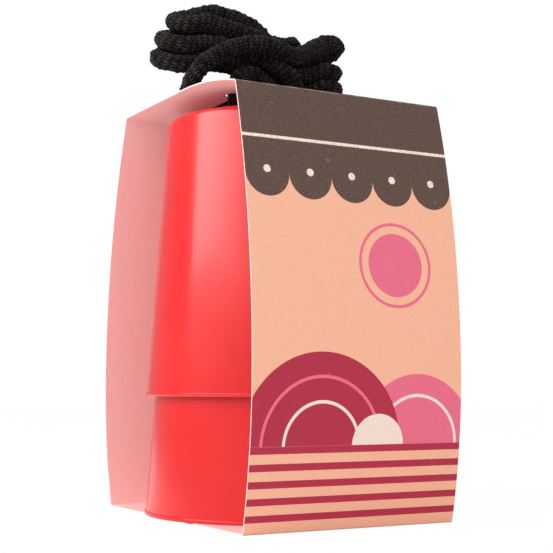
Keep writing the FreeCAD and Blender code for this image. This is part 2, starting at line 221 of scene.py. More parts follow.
class NodeBoard:
    """Adds nodes to one node tree and links them."""

    def __init__(self, tree: Tree) -> None:
        """Start on a node tree."""
        self.tree = tree

    def add(self, kind: str, **settings: object) -> bpy.types.Node:
        """Add a node.

        Args:
            kind: Its type, without the ShaderNode at its front.
            settings: Values for its properties.

        Returns:
            The new node.
        """
        node = self.tree.nodes.new("ShaderNode" + kind)
        for name, value in settings.items():
            setattr(node, name, value)
        return node

    def feed(self, target: Socket, value: object) -> None:
        """Link a socket to an input, or set the input to a plain value."""
        if isinstance(value, Socket):
            self.tree.links.new(value, target)
        else:
            target.default_value = value

    def dress(self, node: bpy.types.Node, **values: object) -> None:
        """Feed a node's inputs.

        Args:
            node: The node.
            values: Its inputs by name, as sockets or plain values.
        """
        for name, value in values.items():
            self.feed(node.inputs[name.replace("_", " ")], value)

    def math(self, operation: str, *values: object) -> Socket:
        """Add a Math node.

        Args:
            operation: What it works out.
            values: Its inputs, as sockets or numbers.

        Returns:
            Its output.
        """
        node = self.add("Math", operation=operation)
        for target, value in zip(node.inputs, values):
            self.feed(target, value)
        return node.outputs[0]

    def times(self, first: object, second: object) -> Socket:
        """Multiply two values."""
        return self.math("MULTIPLY", first, second)

    def minus(self, first: object, second: object) -> Socket:
        """Take one value from another."""
        return self.math("SUBTRACT", first, second)

    def split(self, place: Socket) -> bpy.types.NodeOutputs:
        """Return a vector's X, Y and Z."""
        node = self.add("SeparateXYZ")
        self.feed(node.inputs[0], place)
        return node.outputs

    def join(self, x: Socket, y: Socket) -> Socket:
        """Make a vector of an X and a Y."""
        node = self.add("CombineXYZ")
        self.dress(node, X=x, Y=y)
        return node.outputs[0]

    def on_object(self) -> Socket:
        """Return the place on the object."""
        return self.add("TexCoord").outputs["Object"]

    def mix(self, factor: object, first: object, second: object) -> Socket:
        """Mix two colours.

        Args:
            factor: The share of the second one.
            first: A colour or a socket.
            second: A colour or a socket.

        Returns:
            The mixed colour.
        """
        node = self.add("Mix", data_type="RGBA")
        self.feed(node.inputs["Factor"], factor)
        for name, value in (("A", first), ("B", second)):
            target = next(s for s in node.inputs if s.name == name and s.type == "RGBA")
            self.feed(target, (*value, 1.0) if isinstance(value, tuple) else value)
        return next(s for s in node.outputs if s.type == "RGBA")

    def span(self, value: object, low: float, high: float,
             to_low: float = 0.0, to_high: float = 1.0) -> Socket:
        """Map a value from one span to another, and keep it within the second one.

        Args:
            value: What is mapped.
            low: Where the first span starts.
            high: Where it ends.
            to_low: What low becomes.
            to_high: What high becomes.

        Returns:
            The mapped value.
        """
        node = self.add("MapRange", clamp=True)
        for target, number in zip(node.inputs, (value, low, high, to_low, to_high)):
            self.feed(target, number)
        return node.outputs[0]

    def noise(self, place: object, scale: object, detail: float) -> Socket:
        """Add a noise pattern.

        Args:
            place: Where it is read.
            scale: How fine it is.
            detail: How many finer layers it has.

        Returns:
            A value from 0 to 1.
        """
        node = self.add("TexNoise")
        self.dress(node, Vector=place, Scale=scale, Detail=detail)
        return node.outputs[0]

    def effect(self, group: Tree, **values: object) -> bpy.types.Node:
        """Place a shared effect.

        Args:
            group: The effect's node group.
            values: Its inputs by name, as sockets or plain values.

        Returns:
            The group node.
        """
        node = self.add("Group", node_tree=group)
        self.dress(node, **values)
        return node

    def bump(self, height: Socket, distance: float, strength: float = 1.0) -> Socket:
        """Turn a height into a normal.

        Args:
            height: The pattern's height, from 0 to 1.
            distance: How deep it is, in metres.
            strength: How strongly it shows.

        Returns:
            The normal.
        """
        node = self.add("Bump")
        self.dress(node, Strength=strength, Distance=distance, Height=height)
        return node.outputs[0]


def new_group(name: str, inputs: dict[str, str],
              outputs: list[str]) -> tuple[Tree, NodeBoard, dict, bpy.types.Node]:
    """Start a shader node group.

    Args:
        name: Its name.
        inputs: The type of each input, by name.
        outputs: The names of its outputs, which are numbers.

    Returns:
        The group, a board to work on, its input sockets by name, and its output node.
    """
    group = bpy.data.node_groups.new(name, "ShaderNodeTree")
    for title, kind in inputs.items():
        group.interface.new_socket(title, in_out="INPUT", socket_type="NodeSocket" + kind)
    for title in outputs:
        group.interface.new_socket(title, in_out="OUTPUT", socket_type="NodeSocketFloat")
    source = group.nodes.new("NodeGroupInput")
    ends = {title: source.outputs[title] for title in inputs}
    return group, NodeBoard(group), ends, group.nodes.new("NodeGroupOutput")


@dataclass(frozen=True)
class Grain:
    """The shared effect of fine grain with a few specks, for card and plastic."""

    cloud_fineness: float = 18.0
    speck_fineness: float = 160.0
    patch_fineness: float = 90.0
    patch_share: float = 0.62

    def build(self) -> Tree:
        """Make the node group."""
        inputs = {"Place": "Vector", "Fineness": "Float", "Speck Size": "Float"}
        group, board, ends, out = new_group("surface grain", inputs, ["Grain", "Specks", "Clouds"])
        place = ends["Place"]
        dots = board.add("TexVoronoi", feature="F1")
        board.dress(dots, Vector=place, Scale=self.speck_fineness)
        chosen = board.math("GREATER_THAN", board.noise(place, self.patch_fineness, 1.0), self.patch_share)
        spot = board.math("LESS_THAN", dots.outputs["Distance"], ends["Speck Size"])
        board.dress(
            out,
            Grain=board.noise(place, ends["Fineness"], 3.0),
            Specks=board.times(spot, chosen),
            Clouds=board.noise(place, self.cloud_fineness, 2.0),
        )
        return group


def stitch_group() -> Tree:
    """Make the shared effect of knitted stitches; X counts stitches along and Y wales around."""
    group, board, ends, out = new_group("knitted stitches", {"Place": "Vector"}, ["Height", "Crest"])
    parts = board.split(ends["Place"])
    row = board.math("MULTIPLY_ADD", parts["Y"], KNIT.rows_climbed / KNIT.wales, parts["X"])
    sway = board.math("SINE", board.times(row, math.tau))
    around = board.math("MULTIPLY_ADD", sway, KNIT.waver, parts["Y"])
    side = board.math("ABSOLUTE", board.minus(board.math("FRACT", around), 0.5))
    across = board.minus(board.times(side, 4.0), 1.0)
    leg = board.minus(1.0, board.times(across, across))
    along = board.math("ADD", row, board.times(side, 2 * KNIT.leg_lean))
    wave = board.math("COSINE", board.times(along, math.tau))
    crest = board.times(leg, board.span(wave, -1.0, 1.0, 1.0 - 2 * KNIT.ripple, 1.0))
    ply = board.noise(ends["Place"], KNIT.ply_fineness, 3.0)
    board.dress(out, Crest=crest, Height=board.math("MULTIPLY_ADD", ply, KNIT.ply_share, crest))
    return group


def disc_group() -> Tree:
    """Make the shared shape of an inked disc or ring, in millimetres."""
    inputs = {"Place": "Vector", "Centre": "Vector", "Inner": "Float", "Outer": "Float"}
    group, board, ends, out = new_group("inked ring", inputs, ["Mask"])
    gap = board.add("VectorMath", operation="DISTANCE")
    board.feed(gap.inputs[0], ends["Place"])
    board.feed(gap.inputs[1], ends["Centre"])
    reach = gap.outputs["Value"]
    edge = board.math("MINIMUM", board.minus(ends["Outer"], reach), board.minus(reach, ends["Inner"]))
    board.dress(out, Mask=board.span(edge, -Print.edge_blur, Print.edge_blur))
    return group


def new_material(name: str) -> tuple[Material, NodeBoard, bpy.types.Node]:
    """Start a material with a plain Principled shader.

    Args:
        name: Its name.

    Returns:
        The material, a board to work on and the shader.
    """
    material = bpy.data.materials.new(name)
    material.use_nodes = True
    tree = material.node_tree
    shader = next(node for node in tree.nodes if node.type == "BSDF_PRINCIPLED")
    return material, NodeBoard(tree), shader


# Finishes

@dataclass(frozen=True)
class CupPlastic:
    """Semi-gloss moulded plastic with a fine skin."""

    colour: Colour = (0.725, 0.009, 0.011)
    deep_colour: Colour = (0.665, 0.006, 0.008)
    speck_colour: Colour = (0.45, 0.008, 0.01)
    speck_size: float = 0.06
    speck_share: float = 0.35
    least_roughness: float = 0.21
    most_roughness: float = 0.29
    coat: float = 0.35
    coat_roughness: float = 0.10
    ior: float = 1.55
    grain_fineness: float = 900.0
    grain_depth: float = 0.02 * MM

    def build(self, grain: Tree) -> Material:
        """Make the material.

        Args:
            grain: The shared grain effect.

        Returns:
            The material.
        """
        material, board, shader = new_material("cup plastic")
        place = board.on_object()
        skin = board.effect(grain, Place=place, Fineness=self.grain_fineness, Speck_Size=self.speck_size)
        clouds = skin.outputs["Clouds"]
        clouded = board.mix(board.span(clouds, 0.3, 0.7), self.deep_colour, self.colour)
        specks = board.times(skin.outputs["Specks"], self.speck_share)
        board.dress(
            shader,
            Base_Color=board.mix(specks, clouded, self.speck_colour),
            Roughness=board.span(clouds, 0.2, 0.8, self.least_roughness, self.most_roughness),
            Normal=board.bump(skin.outputs["Grain"], self.grain_depth),
            IOR=self.ior,
            Coat_Weight=self.coat,
            Coat_Roughness=self.coat_roughness,
        )
        return material


@dataclass(frozen=True)
class BareCard:
    """Uncoated card, as on the sleeve's inside and its cut edges."""

    name: str
    colour: Colour
    shade: Colour
    fleck_colour: Colour = (0.6, 0.5, 0.42)
    fleck_size: float = 0.10
    fleck_share: float = 0.12
    roughness: float = 0.85
    gloss: float = 0.25
    fibre_fineness: float = 1400.0
    fibre_depth: float = 0.03 * MM

    def build(self, grain: Tree) -> Material:
        """Make the material.

        Args:
            grain: The shared grain effect.

        Returns:
            The material.
        """
        material, board, shader = new_material(self.name)
        place = board.on_object()
        fibres = board.effect(grain, Place=place, Fineness=self.fibre_fineness, Speck_Size=self.fleck_size)
        tone = board.mix(board.span(fibres.outputs["Grain"], 0.35, 0.65), self.shade, self.colour)
        flecks = board.times(fibres.outputs["Specks"], self.fleck_share)
        board.dress(
            shader,
            Base_Color=board.mix(flecks, tone, self.fleck_colour),
            Normal=board.bump(fibres.outputs["Grain"], self.fibre_depth),
            Roughness=self.roughness,
            Specular_IOR_Level=self.gloss,
        )
        return material


@dataclass(frozen=True)
class Print:
    """The sleeve's print: a scalloped band over a sun, hills and a striped field, in millimetres."""

    edge_blur: float = 0.09
    band_start: float = 150.0
    scallop: float = 10.5
    dot: float = 1.7
    dot_height: float = 151.5
    line_height: float = 166.0
    line: float = 0.7
    sun: Pair = (19.0, 113.0)
    sun_radius: float = 14.0
    halo: Pair = (17.4, 18.8)
    horizon: float = 36.0
    stripe: float = 1.5
    stripe_step: float = 7.0
    stripe_start: float = 6.5
    field_start: float = 3.0

    def hills(self) -> list[tuple[float, float, float, Ink]]:
        """Return each hill's middle, inner and outer radius and ink, from the back one on."""
        return [
            (29.0, 0.0, 30.0, Ink.PINK),
            (29.0, 20.0, 21.4, Ink.CREAM),
            (-19.0, 0.0, 39.0, Ink.CRIMSON),
            (-19.0, 28.0, 29.4, Ink.PINK),
            (-19.0, 17.5, 18.9, Ink.CREAM),
            (9.0, 0.0, 13.0, Ink.CREAM),
        ]


@dataclass(frozen=True)
class PrintedCard:
    """Matt printed card with paper grain, and light wear along its folds."""

    width: float
    length: float
    front_base: float
    folds: tuple[float, ...]
    design: Print = Print()
    least_roughness: float = 0.64
    most_roughness: float = 0.72
    gloss: float = 0.35
    ground_grain: float = 0.09
    band_grain: float = 0.34
    grain_fineness: float = 1800.0
    grain_depth: float = 0.035 * MM
    fleck_colour: Colour = (0.75, 0.62, 0.52)
    fleck_size: float = 0.16
    fleck_share: float = 0.10
    crease: float = 0.7
    crease_core: float = 0.1
    crease_reach: float = 10.0
    crease_sinking: float = 1.5
    rubbed_colour: Colour = (0.80, 0.66, 0.58)
    rub_fineness: float = 260.0
    least_rub: float = 0.05
    most_rub: float = 0.5

    def places(self, board: NodeBoard) -> tuple[Socket, Socket, Socket]:
        """Work out the print's own coordinates from the strip's UV map.

        Args:
            board: The material's board.

        Returns:
            Across and up a printed panel, and along the strip, in millimetres.
        """
        parts = board.split(board.add("UVMap", uv_map="strip").outputs[0])
        scale = self.length / MM
        along = board.times(parts["Y"], scale)
        across = board.math("MULTIPLY_ADD", parts["X"], scale, -self.width / 2 / MM)
        front = board.minus(along, self.front_base / MM)
        back = board.minus(scale, along)
        side = board.math("SIGN", board.minus(back, front))
        return board.times(across, side), board.math("MINIMUM", front, back), along

    def picture(self, board: NodeBoard, ring: Tree, across: Socket, up: Socket) -> tuple[Socket, Socket]:
        """Lay the printed shapes over each other.

        Args:
            board: The material's board.
            ring: The shared disc and ring shape.
            across: The place across a panel, in millimetres.
            up: The place up a panel, in millimetres.

        Returns:
            The print's colour, and the mask of its dark band.
        """
        design = self.design
        blur = Print.edge_blur
        spot = board.join(across, up)
        repeat = board.join(board.math("PINGPONG", across, design.scallop), up)

        def disc(place: Socket, centre: Pair, inner: float, outer: float) -> Socket:
            """Return the mask of a disc or ring round a centre."""
            least = inner if inner > 0 else -1.0
            node = board.effect(ring, Place=place, Centre=(*centre, 0.0), Inner=least, Outer=outer)
            return node.outputs["Mask"]

        def past(start: float) -> Socket:
            """Return the mask of what lies higher than a line."""
            return board.span(up, start - blur, start + blur)

        above = past(design.horizon)
        sun = disc(spot, design.sun, 0.0, design.sun_radius)
        colour = board.mix(sun, Ink.GROUND.value, Ink.PINK.value)
        colour = board.mix(disc(spot, design.sun, *design.halo), colour, Ink.PINK.value)
        for middle, inner, outer, ink in design.hills():
            hill = board.times(disc(spot, (middle, design.horizon), inner, outer), above)
            colour = board.mix(hill, colour, ink.value)
        wave = board.math("PINGPONG", board.minus(up, design.stripe_start), design.stripe_step / 2)
        stripes = board.span(wave, design.stripe + blur, design.stripe - blur)
        field = board.times(stripes, board.minus(1.0, above))
        colour = board.mix(board.times(field, past(design.field_start)), colour, Ink.CRIMSON.value)
        scallops = disc(repeat, (0.0, design.band_start), 0.0, design.scallop)
        dark = board.math("MAXIMUM", past(design.band_start), scallops)
        colour = board.mix(dark, colour, Ink.BAND.value)
        dots = disc(repeat, (0.0, design.dot_height), 0.0, design.dot)
        gap = board.math("ABSOLUTE", board.minus(up, design.line_height))
        line = board.span(gap, design.line + blur, design.line - blur)
        return board.mix(board.math("MAXIMUM", dots, line), colour, Ink.CREAM.value), dark

    def build(self, grain: Tree, ring: Tree) -> Material:
        """Make the material.

        Args:
            grain: The shared grain effect.
            ring: The shared disc and ring shape.

        Returns:
            The material.
        """
        material, board, shader = new_material("printed card")
        across, up, along = self.places(board)
        colour, dark = self.picture(board, ring, across, up)
        place = board.on_object()
        paper = board.effect(grain, Place=place, Fineness=self.grain_fineness, Speck_Size=self.fleck_size)
        fibres = paper.outputs["Grain"]
        light = board.add("HueSaturation")
        uneven = board.span(fibres, 0.30, 0.70, -1.0, 1.0)
        share = board.math("MULTIPLY_ADD", dark, self.band_grain - self.ground_grain, self.ground_grain)
        board.dress(light, Color=colour, Value=board.math("MULTIPLY_ADD", uneven, share, 1.0))
        flecks = board.times(paper.outputs["Specks"], self.fleck_share)
        flecked = board.mix(flecks, light.outputs[0], self.fleck_colour)
        reach = self.crease_reach
        for fold in self.folds:
            gap = board.math("ABSOLUTE", board.minus(along, fold / MM))
            reach = board.math("MINIMUM", gap, reach)
        worn = board.span(reach, self.crease, self.crease_core)
        patches = board.noise(place, self.rub_fineness, 3.0)
        rubbed = board.times(worn, board.span(patches, 0.45, 0.75, self.least_rub, self.most_rub))
        height = board.math("MULTIPLY_ADD", worn, -self.crease_sinking, fibres)
        clouds = paper.outputs["Clouds"]
        board.dress(
            shader,
            Base_Color=board.mix(rubbed, flecked, self.rubbed_colour),
            Normal=board.bump(height, self.grain_depth),
            Roughness=board.span(clouds, 0.2, 0.8, self.least_roughness, self.most_roughness),
            Specular_IOR_Level=self.gloss,
        )
        return material


@dataclass(frozen=True)
class KnitYarn:
    """Dull black knitted yarn, painted paler on the stitch crests as painted highlight and near black in
    the grooves as painted shade.
    """

    # Painted highlight colour on the stitch crests, and painted shade colour in the grooves.
    crest: Colour = (0.082, 0.062, 0.055)
    groove_painted_shade: Colour = (0.0015, 0.0012, 0.0012)
    roughness: float = 0.95
    gloss: float = 0.12
    sheen: float = 0.04
    sheen_roughness: float = 0.45
    stitch_depth: float = 0.34 * MM
    stitch_strength: float = 0.8
    fuzz_fineness: float = 0.7
    least_fuzz: float = 0.15

    def build(self, name: str, stitches: Tree, counts: Pair) -> Material:
        """Make the material.

        Args:
            name: Its name.
            stitches: The shared stitch effect.
            counts: How many stitches the UV map spans along and around.

        Returns:
            The material.
        """
        material, board, shader = new_material(name)
        mapping = board.add("Mapping")
        board.dress(mapping, Vector=board.add("UVMap", uv_map="knit").outputs[0], Scale=(*counts, 1.0))
        knit = board.effect(stitches, Place=mapping.outputs[0])
        fuzz = board.noise(mapping.outputs[0], self.fuzz_fineness, 4.0)
        # Painted highlight and shade: the colour follows the stitch relief, near black in the grooves and
        # paler on the crests, broken up by fuzz.
        crest = board.times(knit.outputs["Crest"], knit.outputs["Crest"])
        shade = board.times(crest, board.span(fuzz, 0.34, 0.66, self.least_fuzz))
        board.dress(
            shader,
            Base_Color=board.mix(shade, self.groove_painted_shade, self.crest),
            Normal=board.bump(knit.outputs["Height"], self.stitch_depth, self.stitch_strength),
            Roughness=self.roughness,
            Specular_IOR_Level=self.gloss,
            Sheen_Weight=self.sheen,
            Sheen_Roughness=self.sheen_roughness,
        )
        return material


@dataclass(frozen=True)
class Finishes:
    """All the materials and shared effects that the pieces take."""

    grain: Tree
    stitches: Tree
    ring: Tree
    plastic: Material
    inside: Material
    edge: Material


def make_finishes() -> Finishes:
    """Build the shared effects once, and the materials that need no sizes of a piece."""
    grain = Grain().build()
    return Finishes(
        grain=grain,
        stitches=stitch_group(),
        ring=disc_group(),
        plastic=CupPlastic().build(grain),
        # The card is white inside; the pink of these two colours is painted red light bounced off the cups.
        inside=BareCard("card inside painted red bounce", (0.965, 0.650, 0.630), (0.930, 0.590, 0.570)).build(grain),
        edge=BareCard("card edge", (0.960, 0.780, 0.700), (0.880, 0.640, 0.560)).build(grain),
    )


# Cups

@dataclass
class StiltCup:
    """One moulded cup, open side down, with a bead at its rim, fins inside and two cord holes."""

    node: str
    body: Body
    height: float = 130.5 * MM
    rim_radius: float = 58.5 * MM
    top_radius: float = 49.7 * MM
    wall: float = 2.4 * MM
    platform: float = 3.0 * MM
    edge_round: float = 3.0 * MM
    inside_round: float = 1.5 * MM
    bead_proud: float = 0.5 * MM
    bead_height: float = 1.8 * MM
    bead_round: float = 0.4 * MM
    fin_count: int = 8
    fin_turn: float = 22.5
    fin_seat: float = 76.1 * MM
    fin_depth: float = 8.0 * MM
    fin_thickness: float = 2.0 * MM
    hole_radius: float = 4.4 * MM
    hole_flare: float = 0.5 * MM
    hole_spread: float = 30.4 * MM
    hole_turn: float = 27.4
    sides: int = 144
    support: float = 0.5 * MM
    smooth_turn: float = 32.0

    def outer(self, height: float) -> float:
        """Return the cup's outer radius at a height above its rim."""
        return self.rim_radius - (self.rim_radius - self.top_radius) * height / self.height

    def shell(self) -> Shape:
        """Spin the wall and platform from their section and round their edges."""
        ceiling = self.height - self.platform
        bead = self.rim_radius + self.bead_proud
        shape = lathe([
            (bead, 0.0), (bead, self.bead_height), (self.outer(self.bead_height), self.bead_height),
            (self.top_radius, self.height), (0.0, self.height),
            (0.0, ceiling), (self.outer(ceiling) - self.wall, ceiling), (self.rim_radius - self.wall, 0.0),
        ], self.sides)
        self.round_ring(shape, self.height, self.top_radius, self.edge_round, 6)
        self.round_ring(shape, ceiling, self.outer(ceiling) - self.wall, self.inside_round, 4)
        self.round_ring(shape, self.bead_height, bead, self.bead_round, 3)
        self.round_ring(shape, 0.0, bead, self.bead_round, 3)
        self.round_ring(shape, 0.0, self.rim_radius - self.wall, self.bead_round, 3)
        return shape

    def round_ring(self, shape: Shape, height: float, radius: float, size: float, steps: int) -> None:
        """Round one ring of edges.

        Args:
            shape: The cup's bmesh.
            height: The ring's height.
            radius: The ring's radius.
            size: How far the rounding reaches.
            steps: How many faces it has.
        """
        ring = [
            edge for edge in shape.edges
            if all(near(v.co.z, height) and near(v.co.xy.length, radius) for v in edge.verts)
        ]
        bevel(shape, ring, size, steps)

    def hold_shading(self, shape: Shape) -> None:
        """Add rings beside the roundings, so that smooth shading stays flat along the wall."""
        ceiling = self.height - self.platform
        rings = [
            self.bead_height + self.support,
            self.height - self.edge_round - 2 * self.support,
            ceiling - self.inside_round - self.support,
            self.height / 4,
            self.height / 2,
            self.height * 3 / 4,
        ]
        for height in rings:
            bmesh.ops.bisect_plane(shape, geom=shape.verts[:] + shape.edges[:] + shape.faces[:],
                                   plane_co=(0, 0, height), plane_no=(0, 0, 1))

    def fins(self) -> Piece:
        """Make the fins on which this cup rests when it is stacked."""
        shape = bmesh.new()
        reach = self.outer(self.fin_seat)
        start = reach - self.wall - self.fin_depth
        top = self.height - self.platform / 2
        end = self.outer(top) - self.wall / 2
        for index in range(self.fin_count):
            made = bmesh.ops.create_cube(shape, size=1.0)["verts"]
            size = Matrix.Diagonal((end - start, self.fin_thickness, top - self.fin_seat, 1.0))
            place = Matrix.Translation(((start + end) / 2, 0, (self.fin_seat + top) / 2))
            turn = Matrix.Rotation(math.radians(self.fin_turn + index * 360 / self.fin_count), 4, "Z")
            bmesh.ops.transform(shape, matrix=turn @ place @ size, verts=made)
        return new_piece("fins", to_mesh(shape, "fins"))

    def hole_cutter(self) -> Piece:
        """Make the tool for both cord holes, flared at both faces of the platform."""
        wide = self.hole_radius + self.hole_flare
        under = self.height - self.platform
        shape = lathe([
            (0.0, under - self.wall), (wide, under - self.wall), (wide, under),
            (self.hole_radius, under + self.hole_flare), (self.hole_radius, self.height - self.hole_flare),
            (wide, self.height), (wide, self.height + self.wall), (0.0, self.height + self.wall),
        ], self.sides // 3)
        first_half = shape.verts[:] + shape.edges[:] + shape.faces[:]
        turn = math.radians(self.hole_turn)
        step = Vector((math.cos(turn), math.sin(turn), 0)) * self.hole_spread
        copy = bmesh.ops.duplicate(shape, geom=first_half)["geom"]
        bmesh.ops.translate(shape, vec=step, verts=only(Vert, copy))
        bmesh.ops.translate(shape, vec=-step, verts=only(Vert, first_half))
        return new_piece("hole_cutter", to_mesh(shape, "hole_cutter"))

    def build(self, finishes: Finishes) -> Piece:
        """Build the cup in its place and dress it.

        Args:
            finishes: The materials.

        Returns:
            The finished piece.
        """
        shape = self.shell()
        self.hold_shading(shape)
        cup = new_piece(self.node + "_moulding", to_mesh(shape, self.node))
        combine(cup, self.fins(), "UNION")
        combine(cup, self.hole_cutter(), "DIFFERENCE")
        cup.data.transform(Matrix.Translation((0, 0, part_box(self.node)[0].z)))
        smooth_by_angle(cup.data, self.smooth_turn)
        cup.data.materials.clear()
        cup.data.materials.append(finishes.plastic)
        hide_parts(self.node)
        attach(cup, self.body.value)
        return cup


# Sleeve

@dataclass
class CardSleeve:
    """The folded card strip: bottom, front, top and back panel, a glued flap and a slot for the cord."""

    width: float = 105.0 * MM
    card: float = 0.6 * MM
    fold_round: float = 0.9 * MM
    front_base: float = -71.3 * MM
    back_base: float = 69.9 * MM
    half_depth: float = 78.9 * MM
    front_widest: float = 68.0 * MM
    back_widest: float = 65.0 * MM
    front_crease: Pair = (-62.7 * MM, 188.9 * MM)
    back_crease: Pair = (55.5 * MM, 194.6 * MM)
    top_bend: float = -12.0 * MM
    top: float = 195.2 * MM
    flap_height: float = 16.0 * MM
    slot_end: float = -25.2 * MM
    slot_half: float = 21.0 * MM
    slot_round: float = 8.0 * MM
    notch_end: float = -31.5 * MM
    notch_width: float = 14.0 * MM
    notch_round: float = 6.9 * MM
    step: float = 5.0 * MM
    columns: int = 8
    smooth_turn: float = 30.0

    def arc(self, shape: Shape, start: Vert, middle: Pair, end: Pair) -> Vert:
        """Carry the section on along an arc round a middle.

        Args:
            shape: The section's bmesh.
            start: Its last vertex so far.
            middle: The arc's middle, as Y and Z.
            end: Where the arc ends, as Y and Z.

        Returns:
            The new last vertex.
        """
        first = math.atan2(start.co.z - middle[1], start.co.y - middle[0])
        last = math.atan2(end[1] - middle[1], end[0] - middle[0])
        turn = (last - first + math.pi) % math.tau - math.pi
        radius = math.hypot(end[0] - middle[0], end[1] - middle[1])
        steps = max(3, round(abs(turn) * radius / self.step))
        made = bmesh.ops.spin(shape, geom=[start], cent=(0, *middle), axis=(1, 0, 0), angle=turn,
                              steps=steps, use_duplicate=False)
        return only(Vert, made["geom_last"])[0]

    def straight(self, shape: Shape, start: Vert, end: Pair) -> Vert:
        """Carry the section on along a straight line.

        Args:
            shape: The section's bmesh.
            start: Its last vertex so far.
            end: Where the line ends, as Y and Z.

        Returns:
            The new last vertex.
        """
        goal = Vector((start.co.x, *end))
        steps = max(2, round((goal - start.co).length / (3 * self.step)))
        move = (goal - start.co) / steps
        for _ in range(steps):
            made = bmesh.ops.extrude_vert_indiv(shape, verts=[start])["verts"]
            bmesh.ops.translate(shape, vec=move, verts=made)
            start = made[0]
        return start

    def bow_middle(self, widest: Pair, end: Pair) -> Pair:
        """Return the middle of the arc that is upright at the widest point and passes an end."""
        across = abs(end[0] - widest[0])
        up = end[1] - widest[1]
        radius = (across ** 2 + up ** 2) / (2 * across)
        return widest[0] - math.copysign(radius, widest[0]), widest[1]

    def section(self, shape: Shape) -> list[Vert]:
        """Draw the strip's outer line from the flap round to the back panel's end.

        Args:
            shape: An empty bmesh.

        Returns:
            The vertices at the four folds, in order.
        """
        front = (-self.half_depth, self.front_widest)
        back = (self.half_depth, self.back_widest)
        back_low = self.bow_middle(back, (self.back_base, 0.0))
        lap = math.dist(back_low, (self.back_base, 0.0)) - self.card
        reach = math.asin((self.flap_height - back_low[1]) / lap)
        low = math.asin(-back_low[1] / lap)
        flap = shape.verts.new((-self.width / 2, back_low[0] + lap * math.cos(reach),
                                back_low[1] + lap * math.sin(reach)))
        flap_fold = self.arc(shape, flap, back_low, (back_low[0] + lap * math.cos(low), 0.0))
        front_fold = self.straight(shape, flap_fold, (self.front_base, 0.0))
        widest = self.arc(shape, front_fold, self.bow_middle(front, (self.front_base, 0.0)), front)
        crease = self.arc(shape, widest, self.bow_middle(front, self.front_crease), self.front_crease)
        run = self.top_bend - self.front_crease[0]
        drop = self.top - self.front_crease[1]
        radius = (run ** 2 + drop ** 2) / (2 * drop)
        bend = self.arc(shape, crease, (self.top_bend, self.top - radius), (self.top_bend, self.top))
        back_fold = self.straight(shape, bend, self.back_crease)
        widest = self.arc(shape, back_fold, self.bow_middle(back, self.back_crease), back)
        self.arc(shape, widest, back_low, (self.back_base, 0.0))
        return [flap_fold, front_fold, crease, back_fold]

    def measure(self, shape: Shape, folds: list[Vert]) -> tuple[float, list[float]]:
        """Note on each vertex how far along the strip it lies.

        Args:
            shape: The section's bmesh.
            folds: The vertices at the folds.

        Returns:
            The strip's length and each fold's place along it.
        """
        layer = shape.verts.layers.float["run"]
        shape.verts.ensure_lookup_table()
        vert = shape.verts[0]
        edge = vert.link_edges[0]
        travel = 0.0
        while edge:
            travel += edge.calc_length()
            vert = edge.other_vert(vert)
            vert[layer] = travel
            edge = next((e for e in vert.link_edges if e is not edge), None)
        return travel, [fold[layer] for fold in folds]

    def strip(self) -> tuple[Shape, float, list[float]]:
        """Make the strip's outer face with its UV map and rounded folds.

        Returns:
            The bmesh, the strip's length and each fold's place along it.
        """
        shape = bmesh.new()
        shape.verts.layers.float.new("run")
        folds = self.section(shape)
        length, places = self.measure(shape, folds)
        spots = [fold.co.yz.copy() for fold in folds]
        edges = shape.edges[:]
        for _ in range(self.columns):
            made = bmesh.ops.extrude_edge_only(shape, edges=edges)["geom"]
            verts = only(Vert, made)
            edges = [edge for edge in only(bmesh.types.BMEdge, made) if all(v in verts for v in edge.verts)]
            bmesh.ops.translate(shape, vec=(self.width / self.columns, 0, 0), verts=verts)
        bmesh.ops.recalc_face_normals(shape, faces=shape.faces[:])
        lowest = min(shape.faces, key=lambda face: face.calc_center_median().z)
        if lowest.normal.z > 0:
            bmesh.ops.reverse_faces(shape, faces=shape.faces[:])
        run = shape.verts.layers.float["run"]
        layer = shape.loops.layers.uv.new("strip")
        for face in shape.faces:
            for loop in face.loops:
                loop[layer].uv = ((loop.vert.co.x + self.width / 2) / length, loop.vert[run] / length)
        fold_edges = [
            edge for edge in shape.edges
            if any(all((v.co.yz - spot).length < self.card / 9 for v in edge.verts) for spot in spots)
        ]
        bevel(shape, fold_edges, self.fold_round, 3)
        return shape, length, places

    def slot_cutter(self, start: float, low: float, high: float, corner: float) -> Piece:
        """Make a tool for a slot through the top panel that is open at the +X end.

        Args:
            start: The X of its closed end.
            low: The Y of one side.
            high: The Y of the other side.
            corner: The radius of the corners of its closed end.

        Returns:
            The tool.
        """
        shape = bmesh.new()
        past = self.width
        bmesh.ops.create_cube(shape, size=1.0)
        size = Matrix.Diagonal((past, high - low, self.slot_half, 1.0))
        place = Matrix.Translation((start + past / 2, (low + high) / 2, self.top))
        bmesh.ops.transform(shape, matrix=place @ size, verts=shape.verts[:])
        corners = [
            edge for edge in shape.edges
            if all(near(v.co.x, start) for v in edge.verts)
            and not near(edge.verts[0].co.z, edge.verts[1].co.z)
        ]
        bevel(shape, corners, corner, 8)
        for face in shape.faces:
            face.material_index = CardFace.EDGE.value
        mesh = to_mesh(shape, "slot_cutter")
        for _ in CardFace:
            mesh.materials.append(None)
        return new_piece("slot_cutter", mesh)

